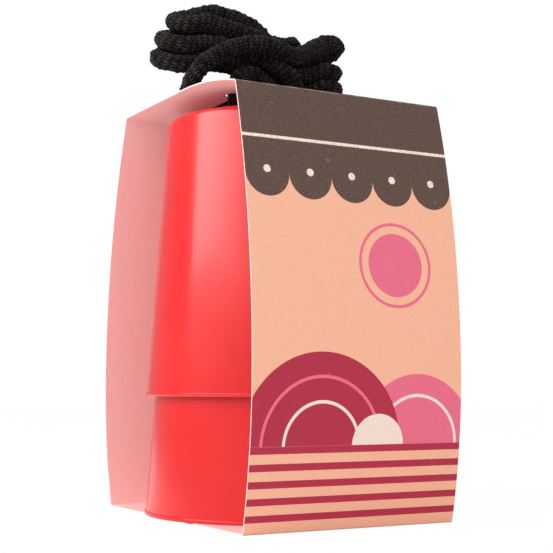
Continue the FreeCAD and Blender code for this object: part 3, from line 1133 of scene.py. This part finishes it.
    def build(self, finishes: Finishes) -> Piece:
        """Build the sleeve and dress it.

        Args:
            finishes: The materials.

        Returns:
            The finished piece.
        """
        shape, length, folds = self.strip()
        sleeve = new_piece("folded_sleeve", to_mesh(shape, "folded_sleeve"))
        printed = PrintedCard(self.width, length, folds[1], tuple(folds))
        sleeve.data.materials.append(printed.build(finishes.grain, finishes.ring))
        sleeve.data.materials.append(finishes.inside)
        sleeve.data.materials.append(finishes.edge)
        thick = sleeve.modifiers.new("card", "SOLIDIFY")
        thick.thickness = self.card
        thick.offset = -1.0
        thick.use_even_offset = True
        thick.material_offset = CardFace.INSIDE.value
        thick.material_offset_rim = CardFace.EDGE.value
        bake_modifiers(sleeve)
        wide = self.slot_cutter(self.slot_end, -self.slot_half, self.slot_half, self.slot_round)
        combine(sleeve, wide, "DIFFERENCE")
        notch_side = self.notch_width - self.slot_half
        notch = self.slot_cutter(self.notch_end, -self.slot_half, notch_side, self.notch_round)
        combine(sleeve, notch, "DIFFERENCE")
        smooth_by_angle(sleeve.data, self.smooth_turn)
        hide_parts("card_sleeve")
        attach(sleeve, Body.SLEEVE.value)
        return sleeve


# Cord

@dataclass(frozen=True)
class KnitTube:
    """A knitted tube: how many wales go round it, how long its stitches are and how high they stand."""

    wales: int = 8
    stitch: float = 2.8 * MM
    rings_per_stitch: int = 4
    sides_per_wale: int = 6
    relief: float = 0.75 * MM
    unevenness: float = 0.65 * MM
    uneven_scale: float = 300.0
    ripple: float = 0.28
    ply_fineness: float = 6.0
    ply_share: float = 0.35
    rest_height: float = 0.62
    relief_spread: float = 0.8
    leg_lean: float = 0.55
    waver: float = 0.13
    rows_climbed: int = 2
    twist: float = 1.3
    first_way: Triple = (0.31, 0.87, 0.12)
    weld: float = 0.0005 * MM

    def follow(self, controls: list[Vector]) -> np.ndarray:
        """Read the points of the smooth line that a list of control points gives.

        Args:
            controls: The route's points.

        Returns:
            Points along the line, one row each.
        """
        curve = bpy.data.curves.new("route", "CURVE")
        curve.dimensions = "3D"
        curve.resolution_u = 16
        spline = curve.splines.new("NURBS")
        spline.points.add(len(controls) - 1)
        for point, place in zip(spline.points, controls):
            point.co = (*place, 1.0)
        spline.order_u = 3
        spline.use_endpoint_u = True
        carrier = new_piece("route", curve)
        mesh = bpy.data.meshes.new_from_object(carrier)
        points = np.array([vert.co[:] for vert in mesh.vertices])
        bpy.data.objects.remove(carrier)
        bpy.data.curves.remove(curve)
        bpy.data.meshes.remove(mesh)
        return points

    def even(self, points: np.ndarray) -> tuple[np.ndarray, int]:
        """Space points evenly, so many for each stitch.

        Args:
            points: Points along the line.

        Returns:
            The even points and the number of stitches.
        """
        steps = np.linalg.norm(np.diff(points, axis=0), axis=1)
        travel = np.concatenate([[0.0], np.cumsum(steps)])
        stitches = max(2, round(travel[-1] / self.stitch))
        wanted = np.linspace(0.0, travel[-1], stitches * self.rings_per_stitch + 1)
        return np.stack([np.interp(wanted, travel, points[:, axis]) for axis in range(3)], axis=1), stitches

    def frames(self, points: np.ndarray) -> tuple[np.ndarray, np.ndarray]:
        """Carry a pair of directions along the line without turning them about it.

        Args:
            points: Even points along the line.

        Returns:
            The two directions across the line at each point.
        """
        ahead = np.gradient(points, axis=0)
        ahead /= np.linalg.norm(ahead, axis=1)[:, None]
        across = np.cross(ahead[0], self.first_way)
        sides = []
        for way in ahead:
            across = across - way * (across @ way)
            across = across / np.linalg.norm(across)
            sides.append(across)
        sides = np.array(sides)
        return sides, np.cross(ahead, sides)

    def stitch_height(self, along: np.ndarray, around: np.ndarray) -> np.ndarray:
        """Return how high the yarn stands, from 0 to 1, at counts of stitches and wales."""
        row = along + around * self.rows_climbed / self.wales
        side = np.abs((around + self.waver * np.sin(math.tau * row)) % 1.0 - 0.5)
        leg = 1.0 - (4.0 * side - 1.0) ** 2
        wave = np.cos(math.tau * (row + 2.0 * self.leg_lean * side))
        return leg * (1.0 - self.ripple + self.ripple * wave)

    def build(self, name: str, points: np.ndarray,
              radii: np.ndarray | float) -> tuple[bpy.types.Mesh, np.ndarray, int]:
        """Knit a closed tube round a line.

        Args:
            name: The mesh's name.
            points: Points along the line.
            radii: The tube's radius, or the radius at evenly spaced places along it.

        Returns:
            The mesh, the even points that it follows and the number of stitches.
        """
        points, stitches = self.even(points)
        rings = len(points) - 1
        count = self.wales * self.sides_per_wale
        shape = bmesh.new()
        shape.loops.layers.uv.new("knit")
        bmesh.ops.create_grid(shape, x_segments=rings, y_segments=count, size=0.5, calc_uvs=True)
        flat = np.array([vert.co[:2] for vert in shape.verts]) + 0.5
        ring = np.rint(flat[:, 0] * rings).astype(int)
        side = np.rint(flat[:, 1] * count).astype(int) % count
        if not np.isscalar(radii):
            radii = np.interp(np.linspace(0, 1, rings + 1), np.linspace(0, 1, len(radii)), radii)[ring]
        first, second = self.frames(points)
        angle = math.tau * (side / count + self.twist * ring / rings)
        height = self.stitch_height(ring / self.rings_per_stitch, side / self.sides_per_wale)

        def around(reach: np.ndarray | float) -> np.ndarray:
            """Return the places that lie that far from the line."""
            across = first[ring] * (np.cos(angle) * reach)[:, None]
            return points[ring] + across + second[ring] * (np.sin(angle) * reach)[:, None]

        uneven = np.array([noise.noise(Vector(place) * self.uneven_scale) for place in around(radii)])
        relief = self.relief * (height - self.rest_height) * (1.0 + self.relief_spread * uneven)
        reach = radii + relief + self.unevenness * uneven
        for vert, place in zip(shape.verts, around(reach)):
            vert.co = place
        bmesh.ops.remove_doubles(shape, verts=shape.verts[:], dist=self.weld)
        ends = [edge for edge in shape.edges if edge.is_boundary]
        bmesh.ops.holes_fill(shape, edges=ends, sides=0)
        bmesh.ops.recalc_face_normals(shape, faces=shape.faces[:])
        mesh = to_mesh(shape, name)
        mesh.shade_smooth()
        return mesh, points, stitches


KNIT = KnitTube()


@dataclass(frozen=True)
class Loop:
    """One turn of the hank: the X and Z that its strands pass beside the waist, in millimetres."""

    left_tip: Pair
    left_tilt: float
    left_slope: float
    back_crest: Pair
    back_shoulder: Pair
    front_crest: Pair
    right_tip: Pair
    right_tilt: float
    right_slope: float
    right_rise: float


LOW_LOOP = Loop(
    left_tip=(-59.3, 210.6), left_tilt=3.7, left_slope=-0.12,
    back_crest=(-36.0, 219.2), back_shoulder=(-14.5, 213.2), front_crest=(-38.0, 210.8),
    right_tip=(34.6, 207.2), right_tilt=0.2, right_slope=0.14, right_rise=2.1,
)
MIDDLE_LOOP = Loop(
    left_tip=(-57.0, 219.8), left_tilt=3.4, left_slope=-0.10,
    back_crest=(-34.0, 230.0), back_shoulder=(-11.0, 222.6), front_crest=(-37.0, 219.8),
    right_tip=(34.6, 215.3), right_tilt=0.4, right_slope=0.11, right_rise=2.2,
)
TOP_LOOP = Loop(
    left_tip=(-51.4, 229.4), left_tilt=2.8, left_slope=-0.25,
    back_crest=(-28.0, 240.8), back_shoulder=(-4.6, 234.8), front_crest=(-31.0, 228.6),
    right_tip=(36.0, 227.6), right_tilt=-2.4, right_slope=0.16, right_rise=0.0,
)


@dataclass
class CarryCord:
    """The upper stilt's cord: from one hole through the tied hank to the other hole."""

    diameter: float = 8.0 * MM
    hole: Pair = (27.0 * MM, 14.0 * MM)
    waist_x: float = 8.0 * MM
    waist_half: float = 4.2 * MM
    waist_pitch: float = 8.4 * MM
    waist_stagger: float = -1.6 * MM
    waist_lift: float = 4.8 * MM
    waist_left: float = 5.0 * MM
    waist_right: float = 9.0 * MM
    crest_half: float = 7.4 * MM
    shoulder_half: float = 5.4 * MM
    fold_radius: float = 8.2 * MM
    fold_points: int = 4
    exit_height: float = 5.8 * MM
    link_place: Pair = (-15.0, 210.4)
    length: float = 0.955

    def __post_init__(self) -> None:
        """Take the panel's and the platform's heights from the frame."""
        self.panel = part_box("card_sleeve")[1].z
        self.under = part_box("cord_lead_in")[0].z

    def over_panel(self, route: list[Triple]) -> list[Vector]:
        """Turn points given in millimetres, with their heights above the top panel, into places."""
        return [Vector(point) * MM + Vector((0, 0, self.panel)) for point in route]

    def lead_in(self) -> list[Vector]:
        """Return the points from the first hole up past the top panel and into the hank."""
        x, y = self.hole
        return [Vector((-x, -y, self.under))] + self.over_panel([
            (-27.0, -14.0, -1.0), (-27.0, -14.0, 5.6), (-22.3, -14.0, 10.4),
            (-15.6, -12.8, 10.2), (-8.0, -9.4, 7.4), (-2.5, -6.2, 5.2),
        ])

    def tie(self) -> list[Vector]:
        """Return the points of the turn round the waist: down in front, up behind and over the top."""
        return self.over_panel([
            (-17.5, -9.6, 22.0), (-5.0, -13.6, 17.0), (6.0, -13.6, 9.6), (7.2, -12.9, 1.3),
            (8.0, -7.7, -3.7), (8.6, 7.7, -5.1), (10.0, 12.9, 0.0), (11.0, 13.1, 6.8), (13.2, 14.0, 21.3),
            (15.5, 12.0, 31.8), (14.0, 0.5, 33.2), (3.0, -4.0, 28.6), (-9.0, -5.4, 30.8),
        ])

    def lead_out(self) -> list[Vector]:
        """Return the points over the front of the waist, round the top panel and down the second hole."""
        x, y = self.hole
        down = [Vector((x, y, self.panel + self.exit_height)), Vector((x, y, self.under))]
        return self.over_panel([
            (13.0, -10.6, 25.9), (3.0, -15.8, 20.6), (-8.5, -19.0, 24.2), (-20.0, -18.4, 24.4),
            (-30.5, -17.8, 21.2), (-41.0, -18.0, 15.4), (-48.0, -18.2, 8.8), (-49.4, -13.0, 3.5),
            (-45.6, -5.0, 4.3), (-40.5, 10.0, 4.4), (-31.0, 23.0, 4.6), (-13.0, 27.0, 4.6),
            (7.0, 26.5, 4.7),
        ]) + down

    def side(self, run: int) -> int:
        """Return -1 for a run in the front column and 1 for one in the back column."""
        return -1 if run % 2 == 0 else 1

    def waist(self, run: int, along: float = 0.0, rise: float = 0.0) -> Vector:
        """Return where a run passes the waist, or a place beside it.

        Args:
            run: The run, from the first one.
            along: How far right of the waist the place lies.
            rise: How much higher than the waist it lies, in millimetres.

        Returns:
            The place.
        """
        side = self.side(run)
        height = self.panel + self.waist_lift + (run // 2) * self.waist_pitch
        height += (1 + side) / 2 * self.waist_stagger
        return Vector((self.waist_x + along, side * self.waist_half, height + rise * MM))

    def strand(self, place: Pair, half: float, run: int) -> Vector:
        """Return a point of a strand from its X and Z in millimetres and its distance from the middle."""
        return Vector((place[0] * MM, half * self.side(run), place[1] * MM))

    def fold(self, tip: Pair, run: int, way: int, slope: float, tilt: float) -> list[Vector]:
        """Return the points of a bight.

        Args:
            tip: The X and Z of the line's end, in millimetres.
            run: The run that comes before it.
            way: -1 at the left and 1 at the right.
            slope: How steeply it points up.
            tilt: How much higher than the middle its back strand lies, in millimetres.

        Returns:
            Its points, with one before it and one after it.
        """
        ahead = Vector((way, 0, slope)).normalized()
        middle = Vector((tip[0] * MM, 0, tip[1] * MM)) - ahead * self.fold_radius
        step = Vector((0, math.sqrt(self.fold_radius ** 2 - (tilt * MM) ** 2), tilt * MM))
        across = (step - ahead * step.dot(ahead)).normalized() * self.side(run + 1)
        half = math.pi / self.fold_points / 2
        outer = self.fold_radius / math.cos(half)
        lead = ahead * self.fold_radius * math.tan(half)
        points = [middle - across * self.fold_radius - lead]
        for index in range(self.fold_points):
            angle = half * (2 * index + 1)
            points.append(middle + (ahead * math.sin(angle) - across * math.cos(angle)) * outer)
        points.append(middle + across * self.fold_radius - lead)
        return points

    def turn(self, loop: Loop, run: int) -> list[Vector]:
        """Return the points of one turn of the hank, from the waist round the right end and the left end.

        Args:
            loop: Where the turn lies.
            run: Its first run.

        Returns:
            Its points, up to its front crest.
        """
        points = [self.waist(run, -self.waist_left), self.waist(run, self.waist_right, loop.right_rise)]
        points += self.fold(loop.right_tip, run, 1, loop.right_slope, loop.right_tilt)
        points.append(self.waist(run + 1, self.waist_right, loop.right_rise))
        points.append(self.waist(run + 1, -self.waist_left))
        points.append(self.strand(loop.back_shoulder, self.shoulder_half, run + 1))
        points.append(self.strand(loop.back_crest, self.crest_half, run + 1))
        points += self.fold(loop.left_tip, run + 1, -1, loop.left_slope, loop.left_tilt)
        points.append(self.strand(loop.front_crest, self.crest_half, run + 2))
        return points

    def last_turn(self) -> list[Vector]:
        """Return the points of the top turn, which runs back from its front crest to its right end."""
        loop = TOP_LOOP
        points = [self.strand(loop.front_crest, self.crest_half, 0)]
        points += reversed(self.fold(loop.left_tip, 5, -1, loop.left_slope, loop.left_tilt))
        points.append(self.strand(loop.back_crest, self.crest_half, 5))
        points.append(self.strand(loop.back_shoulder, self.shoulder_half, 5))
        points += self.over_panel([(5.0, 5.6, 25.4), (18.5, 4.6, 24.0)])
        points += reversed(self.fold(loop.right_tip, 4, 1, loop.right_slope, loop.right_tilt))
        return points

    def route(self) -> list[Vector]:
        """Return all the points of the cord's line, from hole to hole."""
        shoulder = self.strand(self.link_place, self.shoulder_half, 2)
        points = self.lead_in() + self.turn(LOW_LOOP, 0) + [shoulder] + self.turn(MIDDLE_LOOP, 2)
        return points + self.tie() + self.last_turn() + self.lead_out()

    def build(self, finishes: Finishes) -> Piece:
        """Knit the cord along its route and dress it.

        Args:
            finishes: The materials.

        Returns:
            The finished piece.
        """
        controls = self.route()
        mesh, path, stitches = KNIT.build("knitted_cord", KNIT.follow(controls), self.diameter / 2)
        cord = new_piece("knitted_cord", mesh)
        yarn = KnitYarn().build("cord yarn", finishes.stitches, (stitches, KNIT.wales))
        mesh.materials.append(yarn)
        length = float(np.linalg.norm(np.diff(path, axis=0), axis=1).sum())
        LOG.info("cord is %.3f m long, %d stitches", length, stitches)
        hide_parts("cord_lead_in", "cord_hank", "cord_lead_out")
        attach(cord, Body.UPPER.value)
        knots = [StopperKnot(side, self).build(finishes) for side in (-1, 1)]
        return cord


@dataclass
class StopperKnot:
    """The overhand knot under the platform that stops the cord, drawn tight, with its cut tail."""

    side: int
    cord: CarryCord
    squeezed: float = 2.9 * MM
    wrap_radius: float = 7.6 * MM
    wraps: float = 1.25
    wrap_low: float = -12.6 * MM
    wrap_high: float = -4.2 * MM
    core: float = 2.5 * MM
    entry: tuple[float, ...] = (0.0, -2.0 * MM, -5.0 * MM, -11.0 * MM)
    leaving: tuple[float, ...] = (-8.0 * MM, -14.0 * MM, -20.0 * MM, -28.0 * MM)
    wrap_fall: float = 3.0 * MM
    wrap_rise: float = 0.8 * MM
    top_share: float = 0.98
    tail_shares: Pair = (0.92, 0.96)
    points_per_turn: int = 14

    def route(self) -> list[Vector]:
        """Return the knot's points below the middle of its hole."""
        core = self.core
        points = [Vector((x, 0, z)) for x, z in zip((0.0, 0.0, -core, -core), self.entry)]
        points.append(Vector((-core * 0.6, -core, self.wrap_low - self.wrap_fall)))
        count = round(self.wraps * self.points_per_turn)
        for index in range(count + 1):
            share = index / count
            angle = -math.pi / 2 + share * self.wraps * math.tau
            height = self.wrap_low + (self.wrap_high - self.wrap_low) * share
            across = Vector((math.cos(angle), math.sin(angle), 0)) * self.wrap_radius
            points.append(across + Vector((0, 0, height)))
        points.append(Vector((core * 1.8, core * 0.6, self.wrap_high + self.wrap_rise)))
        return points + [Vector((x, 0, z)) for x, z in zip((core, core, 0.0, 0.0), self.leaving)]

    def build(self, finishes: Finishes) -> Piece:
        """Knit the knot in its place and dress it.

        Args:
            finishes: The materials.

        Returns:
            The finished piece.
        """
        x, y = self.cord.hole
        centre = Vector((self.side * x, self.side * y, self.cord.under))
        turn = Matrix.Rotation(math.pi if self.side > 0 else 0.0, 3, "Z")
        controls = [centre + turn @ point for point in self.route()]
        full = self.cord.diameter / 2
        ends = [full * share for share in self.tail_shares]
        radii = np.array([full * self.top_share] + [self.squeezed] * 10 + ends)
        name = "stopper_knot_" + ("out" if self.side > 0 else "in")
        mesh, _, stitches = KNIT.build(name, KNIT.follow(controls), radii)
        knot = new_piece(name, mesh)
        mesh.materials.append(KnitYarn().build(name + " yarn", finishes.stitches, (stitches, KNIT.wales)))
        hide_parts("cord_knot_out" if self.side > 0 else "cord_knot_in")
        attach(knot, Body.UPPER.value)
        return knot


# Studio

@dataclass
class Studio:
    """A white sweep, a large soft light at the left and soft fill all round."""

    floor_size: float = 6.0
    ambient: float = 0.76
    key_power: float = 3.7
    mirrored: float = 0.32
    floor_glow: float = 0.98
    floor_tone: float = 0.86
    key_size: Pair = (1.70, 0.95)
    key_fade: tuple[float, float, float, float] = (0.35, 0.85, 1.15, 0.35)
    key_place: Triple = (-1.06, -0.19, 0.80)
    key_target: Triple = (0.0, 0.0, 0.12)
    camera_place: Triple = (-290.38 * MM, -517.96 * MM, 60.85 * MM)
    camera_target: Triple = (2.87 * MM, -0.50 * MM, 112.45 * MM)
    camera_roll: float = 0.15
    lens: float = 80.80

    def floor(self) -> None:
        """Lay the white floor, which shows the object's shadow."""
        shape = bmesh.new()
        bmesh.ops.create_grid(shape, x_segments=2, y_segments=2, size=self.floor_size / 2)
        floor = new_piece("floor", to_mesh(shape, "floor"))
        material, board, shader = new_material("studio floor")
        tone = (self.floor_tone, self.floor_tone, self.floor_tone, 1.0)
        board.dress(shader, Base_Color=tone, Roughness=0.9, Specular_IOR_Level=0.1)
        glow = board.add("Emission")
        path = board.add("LightPath")
        blend = board.add("MixShader")
        board.feed(blend.inputs[0], board.times(path.outputs["Is Camera Ray"], self.floor_glow))
        board.feed(blend.inputs[1], shader.outputs[0])
        board.feed(blend.inputs[2], glow.outputs[0])
        output = next(node for node in material.node_tree.nodes if node.type == "OUTPUT_MATERIAL")
        board.feed(output.inputs["Surface"], blend.outputs[0])
        floor.data.materials.append(material)

    def world(self) -> None:
        """Fill the scene with even light, and show white behind the object."""
        world = bpy.data.worlds.new("studio")
        world.use_nodes = True
        bpy.context.scene.world = world
        board = NodeBoard(world.node_tree)
        back = next(node for node in world.node_tree.nodes if node.type == "BACKGROUND")
        back.inputs["Color"].default_value = (1.0, 1.0, 1.0, 1.0)
        path = board.add("LightPath")
        seen = board.math("MAXIMUM", path.outputs["Is Camera Ray"], path.outputs["Is Transmission Ray"])
        change = self.mirrored - self.ambient
        fill = board.math("MULTIPLY_ADD", path.outputs["Is Glossy Ray"], change, self.ambient)
        board.feed(back.inputs["Strength"], board.math("MAXIMUM", seen, fill))

    def key_light(self) -> None:
        """Place the large soft light whose edge shows on the cups."""
        light = bpy.data.lights.new("key", "AREA")
        light.shape = "RECTANGLE"
        light.size, light.size_y = self.key_size
        light.energy = self.key_power * math.pi * light.size * light.size_y
        light.use_nodes = True
        board = NodeBoard(light.node_tree)
        glow = next(node for node in light.node_tree.nodes if node.type == "EMISSION")
        parts = board.split(board.add("NewGeometry").outputs["Parametric"])
        board.feed(glow.inputs["Strength"], board.span(parts["X"], *self.key_fade))
        lamp = bpy.data.objects.new("key", light)
        bpy.context.scene.collection.objects.link(lamp)
        place = Vector(self.key_place)
        lamp.location = place
        lamp.rotation_euler = (Vector(self.key_target) - place).to_track_quat("-Z", "Y").to_euler()
        lamp.visible_camera = False

    def camera(self) -> None:
        """Set the camera at the photograph's viewpoint."""
        data = bpy.data.cameras.new("camera")
        data.sensor_width = 36.0
        data.lens = self.lens
        data.clip_start = 0.01
        data.clip_end = 20.0
        camera = bpy.data.objects.new("camera", data)
        bpy.context.scene.collection.objects.link(camera)
        place = Vector(self.camera_place)
        look = (Vector(self.camera_target) - place).to_track_quat("-Z", "Y").to_matrix().to_4x4()
        roll = Matrix.Rotation(math.radians(self.camera_roll), 4, "Z")
        camera.matrix_world = Matrix.Translation(place) @ look @ roll
        bpy.context.scene.camera = camera

    def build(self) -> None:
        """Set up the whole studio."""
        bpy.context.scene.view_settings.view_transform = "Standard"
        self.floor()
        self.world()
        self.key_light()
        self.camera()


def main() -> None:
    """Build every piece round the frame."""
    logging.basicConfig(level=logging.INFO, format="%(name)s: %(message)s")
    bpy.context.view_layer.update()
    Studio().build()
    finishes = make_finishes()
    makers = [
        CardSleeve(),
        StiltCup("lower_cup", Body.LOWER),
        StiltCup("upper_cup", Body.UPPER),
        CarryCord(),
    ]
    for maker in makers:
        piece = maker.build(finishes)
        piece.data.calc_loop_triangles()
        LOG.info("%s: %d triangles", piece.name, len(piece.data.loop_triangles))


if __name__ == "__main__":
    main()
